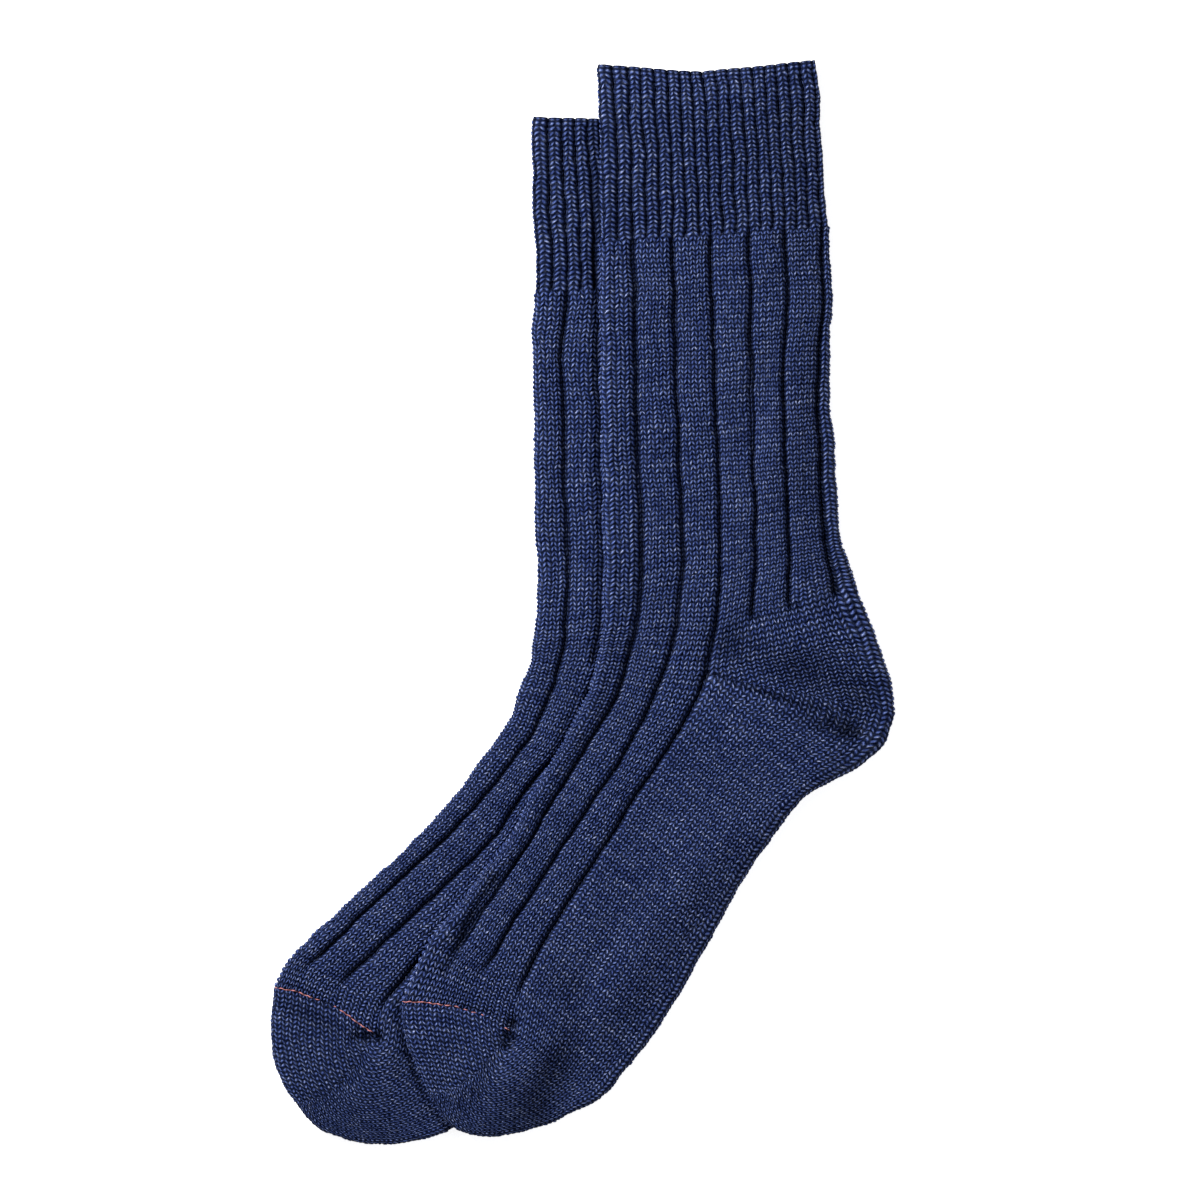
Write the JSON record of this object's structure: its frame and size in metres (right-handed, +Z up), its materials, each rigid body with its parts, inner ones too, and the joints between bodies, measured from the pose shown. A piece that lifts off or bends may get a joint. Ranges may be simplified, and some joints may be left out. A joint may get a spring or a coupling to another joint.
{
  "type": "pair of rib-knit crew socks, laid flat",
  "caption": "Navy marled rib-knit crew socks laid flat, one lying on the other, with narrow-rib cuffs, wide-rib legs, plain heels and toes closed with a coral thread.",
  "frame": {"origin": "on the surface under the middle of the pair's bounding box", "axes": "+Z up off the surface, +Y towards the mouths of the socks, +X towards the heels"},
  "size_m": [0.237, 0.412, 0.0114],
  "materials": {
    "navy_yarn": "marled wool and cotton knit, matte with a soft sheen",
    "coral_thread": "thin spun thread that links the toe"
  },
  "bodies": {
    "root": {"front_sock": "navy_yarn", "back_sock": "navy_yarn"}
  },
  "joints": []
}
